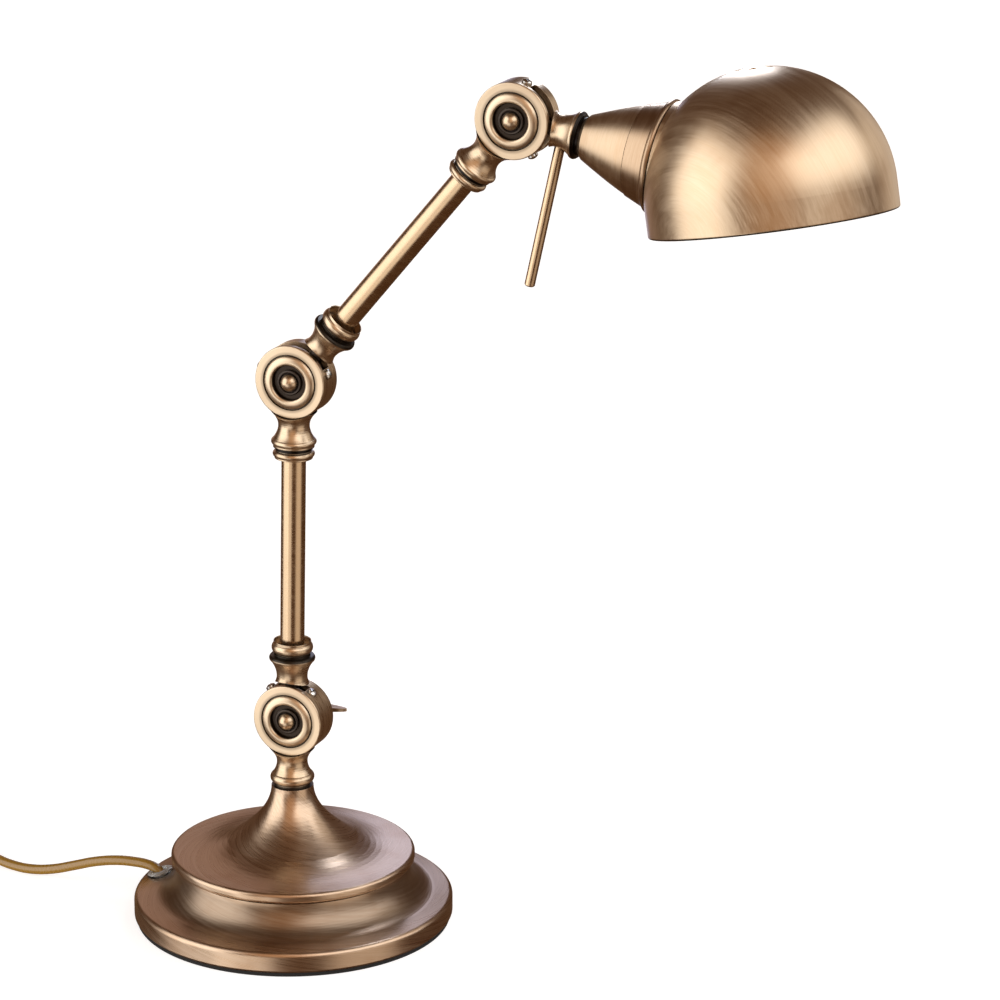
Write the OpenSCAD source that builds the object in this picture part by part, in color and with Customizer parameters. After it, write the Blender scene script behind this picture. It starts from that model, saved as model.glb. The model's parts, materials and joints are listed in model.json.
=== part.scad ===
// Jointed desk lamp: stepped weighted base, two tube arms, three disc knuckles, swivelling dome shade.
// The base axis is Z, the arms move in the XZ plane, and the knuckle rosettes face -Y.

/* [Pose at rest] */
// Direction of the lower arm, degrees up from +X
lower_angle = 88.9; // [76:0.1:103]
// Direction of the upper arm
upper_angle = 50.2; // [38:0.1:70]
// Direction of the lampholder axis
head_angle = -9.2; // [-20:0.1:20]
// How far the shade is turned about the lampholder axis
shade_roll = -5.5; // [-60:0.5:60]

/* [Base] */
// Diameter of the lower disc
base_d = 160; // [150:1:200]
// Thickness of the sheet that the base is spun from
sheet_t = 1.2; // [0.8:0.1:1.6]
// Thickness of the felt pad under the base
pad_t = 2; // [1:0.5:4]
// Height of the lower disc's rounded shoulder above its hem
side_h = 10.6; // [9:0.1:14]
// Rounding of the lower disc's shoulder
shoulder_r = 2.4; // [1:0.1:4]
// Rise of the lower disc's top from its shoulder to the foot of the cove
shoulder_rise = 1; // [0.6:0.1:2]
// Width of the lower disc's flat edge, from its side to the foot of the cove
ledge_w = 8; // [7:0.5:9]
// Width of the cove, from its foot in to its top
cove_w = 14; // [13:0.5:15]
// Height of the cove
cove_h = 15.4; // [14:0.1:20]
// How far the upper disc's lip stands out over the cove
lip_overhang = 3; // [2:0.5:5]
// Thickness of the upper disc's lip
lip_t = 5.4; // [4.6:0.1:7]
// Rounding of the upper disc's lip
lip_round = 1.9; // [1.4:0.1:2.2]
// Rise of the upper disc from its lip to the foot of the trumpet
disc_rise = 5.5; // [4:0.1:9]
// Diameter at the foot of the trumpet
trumpet_foot_d = 66; // [56:1:80]
// Diameter at the top of the trumpet
trumpet_top_d = 21; // [20.5:0.5:25]
// Height of the trumpet
trumpet_h = 28.8; // [24:0.1:36]
// Diameter of the hollow stud that draws the base together
stud_d = 10; // [8:0.5:12]
// Bore of the stud, for the cable
stud_bore = 6; // [5.5:0.1:6.5]

/* [Cord] */
// Diameter of the mains cord
cord_d = 5; // [4.5:0.1:5]
// How far the cord's grommet stands in from the foot of the cove
grommet_in = 1.6; // [1:0.1:2.6]
// Direction of the grommet, degrees from +X
grommet_angle = 187.6; // [180:0.1:192]
// Outward tilt of the grommet
grommet_tilt = 17; // [10:1:20]
// Outer diameter of the grommet's flange
grommet_d = 13; // [11.6:0.2:14]

/* [Arms] */
// Distance between the lower arm's two knuckle centres
lower_len = 174; // [130:1:300]
// Distance between the upper arm's two knuckle centres
upper_len = 177.9; // [130:1:300]
// Outer diameter of the arm tubes
tube_d = 12; // [11:0.1:12.6]
// Wall of the arm tubes
tube_wall = 1; // [0.6:0.1:1.5]

/* [Knuckles] */
// Diameter of the knuckle drums
drum_d = 36.4; // [34.6:0.1:40]
// Front face of the drum, in front of the arm plane
drum_front = 6; // [5.6:0.1:7]
// Back face of the drum, behind the arm plane
drum_back = 10.6; // [9:0.1:12]
// Wall of the drum's rim
rim_wall = 2.8; // [2.4:0.1:3.4]
// Thickness of the hub that turns inside the drum
hub_t = 6.6; // [6:0.1:7]
// Diameter of the hub's stem
stem_d = 6.6; // [6:0.1:6.8]
// Diameter of the through bolt
bolt_d = 5; // [4:0.1:6]
// Diameter of the bolt's domed head
dome_d = 8.6; // [8:0.1:9.4]
// Height of the bolt's domed head
dome_h = 4; // [3:0.1:5]
// Diameter of the stop screws' heads
stop_head_d = 5; // [4:0.1:5.2]
// Height of the stop screws' heads
stop_head_h = 2.1; // [1.4:0.1:2.1]
// Angle from the slot's middle to each stop screw: lower, middle and upper knuckle
stop_spread = [37.2, 74.4, 66.8]; // [32:0.1:80]
// Turn of the upper knuckle's slot away from the upper arm
upper_slot_turn = -45; // [-50:1:-40]
// Half length of the wing key on the lower knuckle
wing_half = 21; // [12:0.5:26]

/* [Necks] */
// Gap between a drum and the saddle of its turning neck
neck_gap = 2.5; // [2.3:0.1:3]
// How much farther out each turning neck stands: lower, middle and upper knuckle
neck_lift = [0, 1.6, 0]; // [0:0.1:2]
// Diameter of a neck at its foot
neck_foot_d = 17.2; // [16.4:0.1:18]
// Diameter of a neck's waist
waist_d = 15.3; // [14.4:0.1:16]
// Diameter of the bead on an arm's foot neck and top neck
bead_d = [22.9, 22.2]; // [21:0.1:24]
// Distance from a knuckle's centre to the end of an arm neck
neck_end = 34.6; // [34:0.1:37]
// Length of the open collar at a tube's foot and at its top
collar_l = [6.4, 4.3]; // [4:0.1:8]
// Outer diameter of a tube's open collars
collar_d = 20.6; // [19:0.1:21]

/* [Head] */
// Length of the socket cup behind the gallery
cup_l = 26.8; // [24:0.1:28]
// Diameter of the socket cup at its back
cup_back_d = 20; // [19:0.1:23]
// Diameter of the socket cup at its seam with the gallery
cup_front_d = 42.4; // [41:0.1:44]
// Length of the gallery ring that turns with the shade
gallery_l = 13.6; // [12:0.1:16]
// Diameter of the gallery's bead
gallery_bead_d = 54; // [52:0.2:57]
// Sheet thickness of cup, gallery and shade
head_sheet = 1; // [0.6:0.1:1.2]
// Diameter of the handle rod
rod_d = 5; // [4:0.1:6]
// Reach of the handle rod from the lampholder axis
rod_l = 76.3; // [40:1:110]
// Lean of the handle rod back from square to the axis
rod_lean = 3; // [0:0.5:6]

/* [Shade] */
// Outer diameter of the dome
shade_d = 115; // [108:1:126]
// Height of the straight skirt under the dome
skirt_h = 13.3; // [8:0.1:20]
// Angle from the lampholder axis to the dome's own axis
shade_tilt = 109.9; // [104:0.1:114]
// How far the dome's centre lies below the lampholder axis
shade_drop = 4; // [2:0.1:5]
// How far the dome's centre lies in front of its seat
shade_reach = 51.5; // [50:0.1:56]
// Diameter of the vent holes round the crown
vent_d = 4; // [2:0.1:5]
// Pitch circle of the vent holes
vent_pcd = 16; // [14:0.5:24]
// Number of vent holes
vent_n = 6; // [3:1:8]

/* [Bulb] */
// Diameter of the bulb's globe
bulb_d = 45; // [40:1:46]
// Diameter of the lampholder's threaded skirt
holder_d = 28; // [26:0.1:29]

/* [Hidden] */
$fn = 96;
fine = 48;
touch = 0.03;        // seat between parts of one body
run = 0.05;          // radial clearance of a bolt or thread that turns
clear = 0.3;         // clearance between bodies that move past each other

base_r = base_d / 2;
drum_r = drum_d / 2;
tube_r = tube_d / 2;
cord_r = cord_d / 2;
stud_r = stud_d / 2;
cable_r = 2.1;       // sheathed cable inside the lamp

// Base levels
plate_t = 1.2;
hem_z = pad_t;
weight_z = hem_z + plate_t;
side_top = hem_z + side_h;
cove_base = side_top + shoulder_rise;
cove_top = cove_base + cove_h;
disc_z = cove_top + 1;
lip_top = disc_z + lip_t;
foot_z = lip_top + disc_rise;
trumpet_top = foot_z + trumpet_h;
cove_foot_r = base_r - ledge_w;
cove_top_r = cove_foot_r - cove_w;
disc_r = cove_top_r + lip_overhang;
grommet_r = cove_foot_r - grommet_in;
grommet_z = cove_top - cove_h * sqrt(1 - pow((cove_foot_r - grommet_r) / cove_w, 2));
grommet_bore = cord_r + 1.2;
channel_z = 7;       // floor of the cable channel in the weight
channel_w = 7;
weight_r = cove_foot_r;
boss_r = cove_top_r - 4;
weight_step = side_top - 1.2;
nut_space_r = 13;
nut_ceiling = 13.2;
nut_r = 9.6;
nut_h = 6;
cable_window = 16;   // height of the stud's window for the cable

// Knuckle centres
k1 = [0, 0, trumpet_top + neck_end + 0.3];
k2 = k1 + lower_len * [cos(lower_angle), 0, sin(lower_angle)];
k3 = k2 + upper_len * [cos(upper_angle), 0, sin(upper_angle)];

// Knuckle sections, z towards the rosette
hub_half = hub_t / 2;
seat_z = hub_half + clear;
washer_t = 1.2;
cavity_r = drum_r - rim_wall;
hub_r = cavity_r - clear;
bolt_r = bolt_d / 2;
stem_r = stem_d / 2;
spigot_r = seat_z - 0.1;
bolt_tail = drum_back + 5;
key_tail = drum_back + 7;
stem_bore_r = 2.2;
slot_margin = 9;     // degrees of rim left between slot and stop screw
slots = [                // middle of each drum's slot, and the angle from there to its stop screws
    [90, stop_spread[0]],
    [lower_angle, stop_spread[1]],
    [upper_angle + upper_slot_turn, stop_spread[2]]];
stop_reach = slot_margin + asin(stem_r / cavity_r);   // from a stem at its stop to the stop screw

// Rosette, from the rim inwards
ring_groove_r = 0.745 * drum_r;
ring_inner_r = 0.46 * drum_r;
ring_crest_r = ring_inner_r + 1.6;
recess_z = drum_front - 1.1;
cup_washer_r = ring_inner_r - 2;
dome_z = recess_z + 0.8;

// Necks
foot_r = neck_foot_d / 2;
saddle_r = drum_r + neck_gap;
foot_edge = sqrt(saddle_r * saddle_r - foot_r * foot_r);
stem_end = saddle_r + 4.2;
waist_r = waist_d / 2;
bead_r = bead_d / 2;
bead_round = 1.65;
waist_t = neck_end - 12.2;
step_l = 1.3;
// Beads: distance from the knuckle, radius, rounding, radius of the groove behind, and whether a step
// lies between them
foot_bead = [neck_end - 2.6, bead_r[0], bead_round, bead_r[0] - 2.4, false];
top_bead = [neck_end - 4.1, bead_r[1], bead_round, bead_r[1] - 2.2, true];
head_bead = [neck_end - 3.3, bead_r[1] + 0.2, bead_round, bead_r[1] - 2, true];
base_bead = [neck_end - 3.9, bead_r[1] - 0.1, 2.7, 8.9, false];
socket_t = neck_end - 6.6;
collar_r = collar_d / 2;

// Head
cup_t = neck_end - 0.2;
cup_front = cup_t + cup_l;
cup_back_r = cup_back_d / 2;
cup_front_r = cup_front_d / 2;
cup_bulge = 1.12;
gallery_t = cup_front + 0.3;
seat_t = gallery_t + gallery_l;
lip_r = cup_front_r - 0.7;
gallery_back_r = lip_r + clear + head_sheet;
gallery_bead_r = gallery_bead_d / 2;
holder_r = holder_d / 2;
holder_back = cup_t + 2.6;
holder_front = seat_t + 8;
cap_r = 6.9;
cap_t = holder_back + 12.5;
cap_l = 24;
bulb_r = bulb_d / 2;
glass_t = 0.8;
bulb_t = cap_t + 54;
ring_seat = seat_t + head_sheet;
rod_t = waist_t + 1.6;
rod_start = 4.3;

// Shade
shade_r = shade_d / 2;
dome_t = seat_t + shade_reach;
boss_seat_r = gallery_bead_r - 0.6;
hem_r = 1.1;
vent_phase = 41;

// Cord route on the table, from the grommet to the switch, the coil and the plug
coil_centre = [-290, 40, 0];
coil_mean_r = 30;
coil_half_w = 12.8;
coil_h = 2 * cord_d + 0.4;
switch_l = 62;
switch_w = 26;
switch_h = 17;
switch_x = -183;     // end that faces the lamp
switch_z = 7.5;
rocker_l = 17;
rocker_w = 13;
rocker_depth = 2.4;  // pivot below the top of the case
rocker_under = 3;    // how far the rocker reaches below its pivot
rocker_pin_r = 1.2;
rocker_pin_l = 0.8;
rocker_tip = -9;
plug_x = -366;
plug_z = 6.9;
plug_l = 36;
plug_w = 35;
plug_h = 13.8;
pin_pitch = 18.6;
pin_l = 19;
// Lead from the grommet over the edge and down to the switch, as shares of the way there, of the sideways
// step still to make, and of the grommet's height above the cord lying on the table
lead_shape = [
    [0, 1, 1.04], [0.023, 0.98, 1.22], [0.068, 0.95, 1.33], [0.134, 0.92, 1.35], [0.223, 0.9, 1.28],
    [0.338, 0.86, 1.02], [0.444, 0.82, 0.65], [0.558, 0.75, 0.27], [0.673, 0.64, 0.05], [0.779, 0.43, 0],
    [0.868, 0.21, 0.1], [0.938, 0.06, 0.31]];
grommet_x = grommet_r * cos(grommet_angle);
grommet_y = grommet_r * sin(grommet_angle);
lead_route = concat(
    [for (p = lead_shape)
        [grommet_x + p[0] * (switch_x - grommet_x), p[1] * grommet_y, cord_r + p[2] * (grommet_z - cord_r)]],
    [[switch_x, 0, switch_z]]);
link_route = [
    [switch_x - switch_l, 0, switch_z], [-252, 0, 6.6], [-261, 0, 4.2], [-271, 0, 2.8],
    [-281, -0.2, 2.6], [-290, -0.4, 2.6]];
tail_route = [
    [-290, -0.4, 7.8], [-301, 0.4, 7.4], [-313, 1, 5.4], [-325, 1, 3.4], [-337, 0.6, 2.6],
    [-347, 0.2, 3.4], [-357, 0, 5.6], [plug_x, 0, plug_z]];

brass = [0.72, 0.56, 0.36];
copper_brown = [0.60, 0.38, 0.22];
dark_patina = [0.20, 0.15, 0.11];
steel = [0.70, 0.70, 0.71];
gunmetal = [0.30, 0.28, 0.28];
iron = [0.30, 0.30, 0.31];
black = [0.06, 0.06, 0.06];
cord_gold = [0.52, 0.40, 0.14];
clear_plastic = [0.80, 0.80, 0.78];
opal = [0.95, 0.94, 0.90];
porcelain = [0.90, 0.88, 0.84];

// Shared geometry

// Points on an arc, from angle a0 to a1
function arc(cx, cy, rx, ry, a0, a1, n = 10) =
    [for (i = [0:n]) let (a = a0 + (a1 - a0) * i / n) [cx + rx * cos(a), cy + ry * sin(a)]];

// Outline of a slice of a disc, wide enough to cut right through a rim
function slice(r, a0, a1, n = 12) =
    concat([[0, 0]], [for (i = [0:n]) let (a = a0 + (a1 - a0) * i / n) 1.5 * r * [cos(a), sin(a)]]);

function unit(v) = v / norm(v);

// Smooth curve through the route's points, n steps between neighbours
function smooth(p, n) = let (last = len(p) - 1) concat(
    [for (i = [0:last - 1], j = [0:n - 1])
        let (a = p[max(i - 1, 0)], b = p[i], c = p[i + 1], d = p[min(i + 2, last)], s = j / n)
        b + s / 2 * ((c - a) + s * ((2 * a - 5 * b + 4 * c - d) + s * (3 * b - a - 3 * c + d)))],
    [p[last]]);

// Round tube along a path; side is a direction that the path never runs along
module tube_along(path, r, side, sides = 10) {
    last = len(path) - 1;
    rings = [for (i = [0:last])
        let (t = unit(path[min(i + 1, last)] - path[max(i - 1, 0)]), u = unit(cross(t, side)))
        let (v = cross(u, t))
        for (k = [0:sides - 1]) path[i] + r * (cos(360 * k / sides) * u + sin(360 * k / sides) * v)];
    faces = concat(
        [[for (k = [0:sides - 1]) k]],
        [for (i = [0:last - 1], k = [0:sides - 1])
            let (a = i * sides + k, b = i * sides + (k + 1) % sides) [a, a + sides, b + sides, b]],
        [[for (k = [sides - 1:-1:0]) last * sides + k]]);
    polyhedron(rings, faces);
}

// A frame whose Z runs in direction a of the arm plane, lift along it from p
module along(p, a, lift = 0) {
    translate(p) rotate([0, 90 - a, 0]) translate([0, 0, lift]) children();
}

// A frame at a knuckle's centre with Z towards the rosette and angles as in the arm plane
module knuckle(k) {
    translate(k) rotate([90, 0, 0]) children();
}

// Radius of a neck at distance t from its knuckle, up to its bead
function neck_r(t, flare_t, flare_r) = t < waist_t
    ? waist_r + (foot_r - waist_r) * pow((waist_t - t) / (waist_t - foot_edge), 2)
    : waist_r + (flare_r - waist_r) * pow((t - waist_t) / (flare_t - waist_t), 2);

// Turned neck: foot, waist, bead, step and groove
module neck_turning(from, bead, end) {
    at = bead[0];
    top_r = bead[1];
    round = bead[2];
    groove_r = bead[3];
    bead_a = 60;
    back_a = 62;
    flare_t = at - round * sin(bead_a);
    flare_r = top_r - round * (1 - cos(bead_a));
    step_r = top_r - 1;
    n = 14;
    rotate_extrude() polygon(concat(
        [[0, from]],
        [for (i = [0:n]) let (t = from + (flare_t - from) * i / n) [neck_r(t, flare_t, flare_r), t]],
        arc(top_r - round, at, round, round, -bead_a, back_a, 9),
        bead[4] ? [[step_r, at + round], [step_r, end - step_l], [groove_r, end - step_l]]
            : [[groove_r, at + round]],
        [[groove_r, end], [0, end]]));
}

// Neck that a hub's stem carries: saddle clear of the drum, stem socket, cable bore
module turning_neck(bead, end) {
    difference() {
        neck_turning(foot_edge, bead, end);
        rotate([90, 0, 0]) cylinder(r = saddle_r, h = 4 * bead[1], center = true);
        cylinder(r = stem_r + touch, h = stem_end, $fn = fine);
        translate([0, 0, foot_edge]) cylinder(r = stem_bore_r, h = end, $fn = fine);
        children();
    }
}

// Neck that carries a drum: saddle against the rim and a spigot through it
module fixed_neck(bead, end) {
    difference() {
        union() {
            difference() {
                neck_turning(cavity_r, bead, end);
                rotate([90, 0, 0]) cylinder(r = drum_r + touch, h = 4 * bead[1], center = true);
            }
            translate([0, 0, cavity_r + touch])
                cylinder(r = spigot_r, h = drum_r - cavity_r + 0.3, $fn = fine);
        }
        cylinder(r = stem_bore_r, h = end + 1, $fn = fine);
        children();
    }
}

// Socket for an arm tube in the end of a neck
module tube_socket() {
    translate([0, 0, socket_t]) cylinder(r = tube_r + touch, h = neck_end, $fn = fine);
}

// Open collar of length l that the tube stands in: a rounded band and a thin lip
module collar(l) {
    inner = collar_r - 1.3;
    floor_t = 1.6;
    band = 0.4 * l;
    rotate_extrude() polygon(concat(
        [[tube_r + touch, neck_end + touch], [collar_r - 1.5, neck_end + touch]],
        arc(collar_r - 2, neck_end + band + 0.4, 2, band, -72, 60, 8),
        [[inner + 0.35, neck_end + l], [inner, neck_end + l - 0.3],
         [inner, neck_end + floor_t], [tube_r + touch, neck_end + floor_t]]));
}

// Knuckle pieces

// Drum: open-fronted housing with the slot that the stem travels in
module drum(slot, neck_dir) {
    mid = slot[0];
    stop = slot[1];
    open = stop - slot_margin;
    edge = 1.2;
    difference() {
        rotate_extrude() polygon(concat(
            [[bolt_r, -drum_back]],
            arc(drum_r - edge, edge - drum_back, edge, edge, -90, 0, 6),
            [[drum_r, seat_z], [cavity_r, seat_z], [cavity_r, -hub_half - washer_t - run],
             [bolt_r, -hub_half - washer_t - run]]));
        translate([0, 0, -seat_z])
            linear_extrude(2 * seat_z + 1) polygon(slice(drum_r, mid - open, mid + open));
        rotate([0, 0, neck_dir]) rotate([0, 90, 0])
            cylinder(r = spigot_r + touch, h = drum_r + 1, $fn = fine);
        for (s = [-1, 1]) rotate([0, 0, mid + s * stop]) rotate([0, 90, 0]) {
            cylinder(r = 1.2, h = drum_r + 1, $fn = fine);
            translate([0, 0, drum_r - 0.15]) cylinder(r = stop_head_d / 2 + touch, h = 2, $fn = fine);
        }
    }
}

// Rosette: front cover with a flat rim, a raised ring and a deep centre
module rosette() {
    edge = 0.6;
    ring_h = 2.2;
    ring_z = drum_front - 0.8;
    rotate_extrude() polygon(concat(
        [[bolt_r + touch, seat_z + touch], [drum_r, seat_z + touch]],
        arc(drum_r - edge, drum_front - edge, edge, edge, 0, 90, 5),
        [[ring_groove_r + 0.35, drum_front], [ring_groove_r, ring_z]],
        arc(ring_crest_r, ring_z, ring_groove_r - ring_crest_r - 0.25, ring_h, 0, 90, 12),
        arc(ring_crest_r, ring_z, ring_crest_r - ring_inner_r, ring_h, 108, 180, 5),
        [[ring_inner_r, recess_z], [bolt_r + touch, recess_z]]));
}

// Dark cupped washer under the bolt's head
module cup_washer() {
    rotate_extrude() polygon(concat(
        [[bolt_r + touch, recess_z + touch], [cup_washer_r, recess_z + touch]],
        arc(cup_washer_r - 0.8, recess_z + 0.7, 0.8, 0.8, 0, 140, 6),
        [[dome_d / 2 + 0.5, dome_z], [bolt_r + touch, dome_z]]));
}

// Through bolt with its domed head
module bolt(tail) {
    head_r = dome_d / 2;
    skirt = 0.7;
    cap = dome_h - skirt;
    ball = (head_r * head_r + cap * cap) / (2 * cap);
    translate([0, 0, -tail]) cylinder(r = bolt_r - touch, h = tail + dome_z + touch, $fn = fine);
    translate([0, 0, dome_z + touch]) intersection() {
        cylinder(r = head_r, h = dome_h, $fn = fine);
        translate([0, 0, dome_h - ball]) sphere(r = ball);
    }
}

module friction_washer() {
    translate([0, 0, -hub_half - washer_t]) difference() {
        cylinder(r = hub_r - 1.6, h = washer_t - run);
        translate([0, 0, -1]) cylinder(r = bolt_r + 3.5, h = washer_t + 2, $fn = fine);
    }
}

// Pair of cross-head screws that end the stem's travel
module stop_screws(slot) {
    head_r = stop_head_d / 2;
    cap = 0.5 * stop_head_h;
    ball = (head_r * head_r + cap * cap) / (2 * cap);
    for (s = [-1, 1]) rotate([0, 0, slot[0] + s * slot[1]]) rotate([0, 90, 0]) difference() {
        union() {
            translate([0, 0, cavity_r + 0.1]) cylinder(r = 1.2 - touch, h = rim_wall, $fn = fine);
            translate([0, 0, drum_r - 0.15 + touch]) intersection() {
                cylinder(r = head_r, h = stop_head_h, $fn = fine);
                translate([0, 0, stop_head_h - ball]) sphere(r = ball, $fn = fine);
            }
        }
        for (a = [0, 90]) rotate([0, 0, a])
            translate([-1.2, -0.3, drum_r + stop_head_h - 1]) cube([2.4, 0.6, 2]);
    }
}

// Capped nut on the bolt's tail
module back_nut(tail) {
    flange_t = 1;
    hex_t = 3;
    cap_h = 2.2;
    ball = 4.2;
    translate([0, 0, -drum_back - touch]) rotate([180, 0, 0]) difference() {
        union() {
            cylinder(r = bolt_r + 3, h = flange_t, $fn = fine);
            translate([0, 0, flange_t]) cylinder(r = bolt_r + 2.1, h = hex_t, $fn = 6);
            translate([0, 0, flange_t + hex_t]) intersection() {
                cylinder(r = bolt_r + 1.4, h = cap_h, $fn = fine);
                translate([0, 0, cap_h - ball]) sphere(r = ball, $fn = fine);
            }
        }
        translate([0, 0, -1]) cylinder(r = bolt_r, h = tail - drum_back + 1, $fn = fine);
    }
}

// The sector of rim that a hub leaves open, so that the fixed neck's bore stays clear in every pose
function window(slot, neck_dir) = let (mid = neck_dir - slot[0], half = slot[1] - stop_reach + 14)
    [mid - half, mid + half];

// Hub: web, boss and part rim, with the stem that carries the next neck
module hub(dir, window, lift) {
    rim_inner = hub_r - 3;
    tip = stem_end + lift;
    web = 2;
    difference() {
        union() {
            difference() {
                translate([0, 0, -hub_half]) cylinder(r = hub_r, h = hub_t);
                translate([0, 0, web - hub_half]) difference() {
                    cylinder(r = rim_inner, h = hub_t);
                    cylinder(r = bolt_r + 2.5, h = hub_t, $fn = fine);
                }
                translate([0, 0, web - hub_half]) linear_extrude(hub_t) difference() {
                    polygon(slice(hub_r, dir + window[0], dir + window[1]));
                    circle(r = bolt_r + 2.5);
                }
            }
            rotate([0, 0, dir]) rotate([0, 90, 0])
                translate([0, 0, rim_inner + 0.5])
                    cylinder(r = stem_r, h = tip - rim_inner - 0.5, $fn = fine);
        }
        rotate([0, 0, dir]) rotate([0, 90, 0])
            translate([0, 0, bolt_r + 3]) cylinder(r = stem_bore_r, h = tip, $fn = fine);
        translate([0, 0, -hub_t]) cylinder(r = bolt_r + run, h = 2 * hub_t, $fn = fine);
    }
}

// Base

function reversed(p) = [for (i = [len(p) - 1:-1:0]) p[i]];

// Outline of the lower disc from its side over the shoulder and up the cove, moved in by off
function lower_outline(off) = concat(
    arc(base_r - shoulder_r, side_top - shoulder_r, shoulder_r - off, shoulder_r - off, 0, 85, 8),
    arc(cove_foot_r, cove_top, cove_w + off, cove_h + off, 266, 180 + asin(off / (cove_h + off)), 16));

module base_lower_shell() color(brass) difference() {
    hem = 1.2;
    rotate_extrude() polygon(concat(
        [[base_r - 1, hem_z], [base_r, hem_z + hem]],
        lower_outline(0),
        [[20, cove_top], [20, cove_top - sheet_t]],
        reversed(lower_outline(sheet_t)),
        [[base_r - sheet_t, hem_z + hem], [base_r - sheet_t - 0.6, hem_z]]));
    grommet_frame() cylinder(r = grommet_bore + 0.9 + touch, h = 12, center = true, $fn = fine);
}

function trumpet(off) = [for (i = [0:16]) let (u = i / 16)
    [trumpet_top_d / 2 + (trumpet_foot_d - trumpet_top_d) / 2 * u * u - off, trumpet_top - trumpet_h * u]];

function disc_top(off) = [for (i = [1:9]) let (v = 1 - i / 9, edge = disc_r - lip_round)
    [edge - (edge - trumpet_foot_d / 2) * v, lip_top + disc_rise * pow(v, 2.6) - off]];

module base_upper_shell() color(copper_brown) {
    lip = lip_round;
    outer = concat(trumpet(0), disc_top(0));
    inner = concat(trumpet(sheet_t), disc_top(sheet_t));
    rotate_extrude() polygon(concat(
        [[stud_r + touch, trumpet_top]],
        outer,
        arc(disc_r - lip, lip_top - lip, lip, lip, 81, 0, 6),
        arc(disc_r - lip, disc_z + lip, lip, lip, 0, -90, 6),
        [[cove_top_r - 3, disc_z], [cove_top_r - 4, cove_top + touch], [cove_top_r - 6, cove_top + touch],
         [cove_top_r - 6, disc_z + sheet_t], [disc_r - lip - sheet_t, disc_z + sheet_t]],
        [for (i = [len(inner) - 1:-1:2]) inner[i]],
        [[trumpet_top_d / 2 - sheet_t, trumpet_top - 3], [stud_r + touch, trumpet_top - 3]]));
}

module base_weight() color(iron) difference() {
    union() {
        translate([0, 0, weight_z + touch]) cylinder(r = weight_r, h = weight_step - weight_z - touch);
        translate([0, 0, weight_step - 1])
            cylinder(r = boss_r, h = cove_top - sheet_t - touch - weight_step + 1);
    }
    translate([0, 0, -1]) cylinder(r = stud_r + 0.2, h = cove_top + 2, $fn = fine);
    translate([0, 0, -1]) cylinder(r = nut_space_r, h = nut_ceiling + 1, $fn = fine);
    rotate([0, 0, grommet_angle]) translate([0, -channel_w / 2, channel_z])
        cube([base_r, channel_w, cove_top]);
    grommet_frame() cylinder(r = grommet_bore + 2, h = 12, center = true, $fn = fine);
    base_screw_places() translate([0, 0, weight_z - 1]) cylinder(r = 2, h = 7, $fn = fine);
}

module base_screw_places() {
    for (a = [0:120:240]) rotate([0, 0, a + 60]) translate([boss_r - 4, 0, 0]) children();
}

module base_plate() color(steel) difference() {
    translate([0, 0, hem_z + touch]) cylinder(r = base_r - sheet_t - 1.2, h = plate_t - touch);
    base_screw_places() translate([0, 0, hem_z - 1]) cylinder(r = 2, h = 4, $fn = fine);
}

module base_pad() color(black) cylinder(r = base_r - 1.3, h = pad_t);

module base_stud() color(steel) difference() {
    bottom = weight_z + 1.2;
    slot_w = stud_bore - 1;
    translate([0, 0, bottom]) cylinder(r = stud_r, h = trumpet_top + 8 - bottom, $fn = fine);
    translate([0, 0, bottom - 1]) cylinder(r = stud_bore / 2, h = trumpet_top + 8, $fn = fine);
    rotate([0, 0, grommet_angle]) translate([0, -slot_w / 2, nut_ceiling + 0.6])
        cube([stud_d, slot_w, cable_window]);
}

// Lock nut and washer under the weight, and the plate's three screws
module base_fasteners() color(steel) {
    washer = 1.4;
    difference() {
        union() {
            translate([0, 0, nut_ceiling - washer - touch])
                cylinder(r = nut_space_r - 1, h = washer, $fn = fine);
            translate([0, 0, nut_ceiling - washer - nut_h]) cylinder(r = nut_r, h = nut_h, $fn = 6);
        }
        cylinder(r = stud_r + touch, h = nut_ceiling + 1, $fn = fine);
    }
    base_screw_places() translate([0, 0, hem_z + touch])
        cylinder(r = 2 - touch, h = plate_t + 5, $fn = fine);
}

// Frame on the lower disc where the cord leaves, Z outwards
module grommet_frame() {
    rotate([0, 0, grommet_angle]) translate([grommet_r, 0, grommet_z])
        rotate([0, grommet_tilt, 0]) children();
}

// Clear snap-in grommet: flange outside, groove at the sheet, lip inside
module cord_grommet() color(clear_plastic) grommet_frame() {
    flange_r = grommet_d / 2;
    groove_r = grommet_bore + 0.9;
    under = 0.9;
    rotate_extrude() polygon(concat(
        [[grommet_bore, -2.6], [groove_r + 0.5, -2.6], [groove_r, -1.9], [groove_r, under],
         [flange_r - 0.7, under]],
        arc(flange_r - 0.8, under + 0.75, 0.8, 0.75, -60, 100, 8),
        arc(grommet_bore + 0.7, under + 1, 0.7, 0.6, 90, 180, 5)));
}

// Cable inside the base: grommet, channel, stud window, stud, neck
module base_cable() color(cord_gold) {
    level = channel_z + cable_r + clear;
    rise = k1[2] - cavity_r - 4;
    rotate([0, 0, grommet_angle]) tube_along(smooth([
        [grommet_r - 0.2, 0, grommet_z - 1], [grommet_r - 1, 0, grommet_z - 2.2],
        [grommet_r - 2.2, 0, grommet_z - 3.4], [grommet_r - 6, 0, level + 0.2], [grommet_r - 12, 0, level],
        [50, 0, level],
        [26, 0, level + 2], [14, 0, nut_ceiling + 3], [6, 0, nut_ceiling + 6], [2, 0, nut_ceiling + 10],
        [0.4, 0, nut_ceiling + 16], [0, 0, nut_ceiling + 24], [0, 0, rise]], 4), cable_r, [0, 1, 0], 8);
}

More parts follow.
